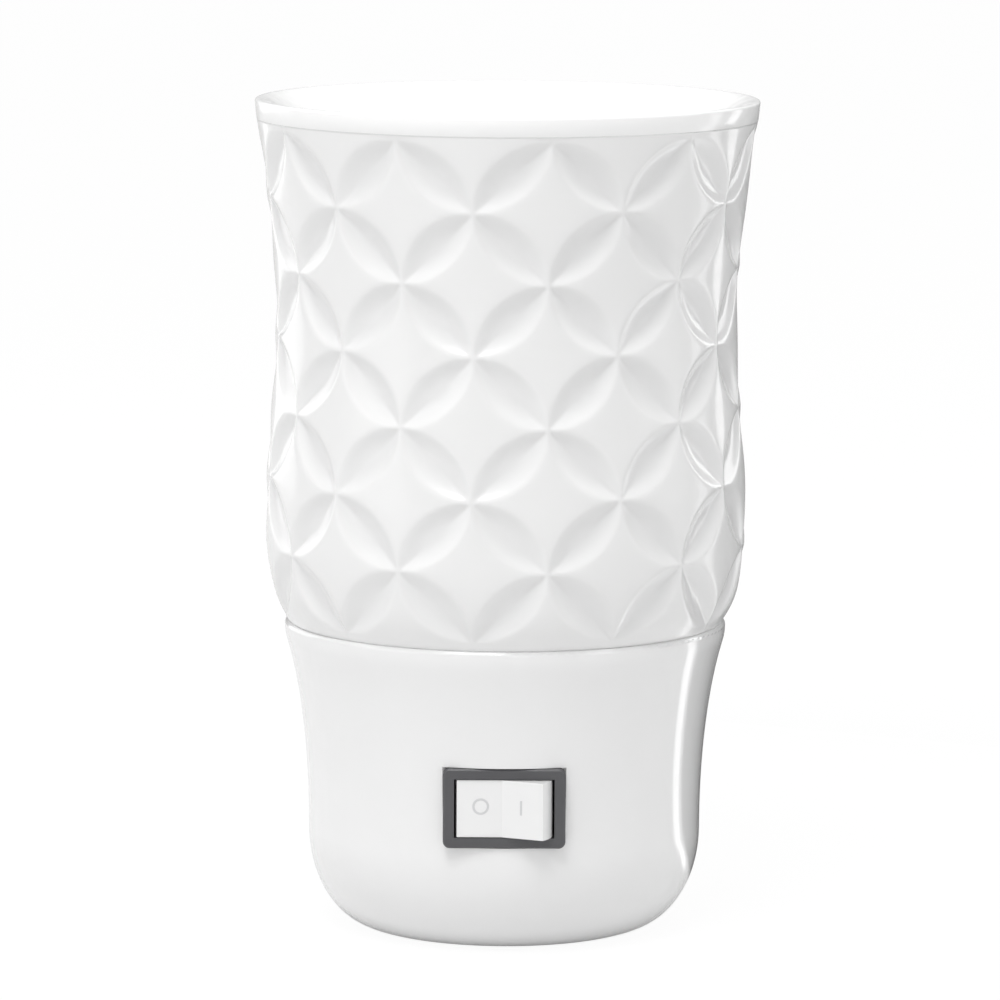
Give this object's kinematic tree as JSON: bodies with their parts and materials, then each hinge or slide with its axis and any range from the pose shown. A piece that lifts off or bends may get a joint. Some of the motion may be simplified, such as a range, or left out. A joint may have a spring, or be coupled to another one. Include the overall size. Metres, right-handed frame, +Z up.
{
  "type": "wax melt warmer",
  "caption": "Plug-in wax melt warmer: a loose dish on a relief-patterned shade, over a switched base with a lamp and a turning two-blade plug.",
  "frame": {"origin": "middle of the plug's flat face, on the wall plane", "axes": "+Z up, +Y out of the plug's face into the wall, the front with the switch faces -Y"},
  "size_m": [0.088, 0.1075, 0.1454],
  "materials": {
    "white_glaze": "glossy glaze",
    "white_shell": "glossy",
    "white_inner": "matte",
    "dark_bezel": "satin",
    "white_rocker": "satin",
    "brass": "stamped",
    "nickel_blade": "nickel plated",
    "screw_steel": "zinc plated",
    "lamp_cap": "rolled thread",
    "lamp_glass": "clear",
    "lamp_insulator": "glossy",
    "solder": "satin",
    "tungsten": "drawn wire",
    "wire_dark": "matte",
    "wire_white": "matte"
  },
  "bodies": {
    "base": {"base_bowl": "white_shell", "lamp_deck": "white_inner", "deck_screws": "screw_steel", "lampholder_body": "white_inner", "screw_shell": "brass", "centre_contact": "brass", "switch_housing": "dark_bezel", "common_terminal": "brass", "load_terminal": "brass", "wire_receptacles": "wire_white", "contact_carrier": "white_inner", "line_strip": "brass", "neutral_strip": "brass", "carrier_screws": "screw_steel", "line_wire": "wire_dark", "neutral_wire": "wire_white", "switched_wire": "wire_dark"},
    "shade": {"shade": "white_glaze"},
    "dish": {"melt_dish": "white_glaze"},
    "lamp": {"bulb_tip": "solder", "bulb_insulator": "lamp_insulator", "bulb_cap": "lamp_cap", "bulb_glass": "lamp_glass", "bulb_stem": "lamp_glass", "bulb_filament": "tungsten"},
    "rocker": {"switch_rocker": "white_rocker"},
    "lever": {"switch_lever": "brass"},
    "plug": {"plug_rotor": "white_shell", "line_blade": "nickel_blade", "neutral_blade": "nickel_blade"}
  },
  "joints": [
    {"name": "shade_lift", "type": "slide", "parent": "base", "child": "shade", "axis": [0, 0, 1], "range_m": [0, 0.06]},
    {"name": "dish_lift", "type": "slide", "parent": "shade", "child": "dish", "axis": [0, 0, 1], "range_m": [0, 0.04]},
    {"name": "lamp_out", "type": "slide", "parent": "base", "child": "lamp", "axis": [0, 0, 1], "range_m": [0, 0.012]},
    {"name": "switch_rock", "type": "hinge", "parent": "base", "child": "rocker", "pos_m": [0, -0.07878, 0.0003], "axis": [0, 0, 1], "range_deg": [0, 24]},
    {"name": "lever_rock", "type": "hinge", "parent": "base", "child": "lever", "pos_m": [0, -0.07228, 0.0003], "axis": [0, 0, -1], "range_deg": [0, 16]},
    {"name": "plug_turn", "type": "hinge", "parent": "base", "child": "plug", "pos_m": [0, 0, 0], "axis": [0, -1, 0], "range_deg": [0, 90]}
  ],
  "couplings": [
    {"joint": "lever_rock", "follows": "switch_rock", "ratio": 0.66667}
  ]
}
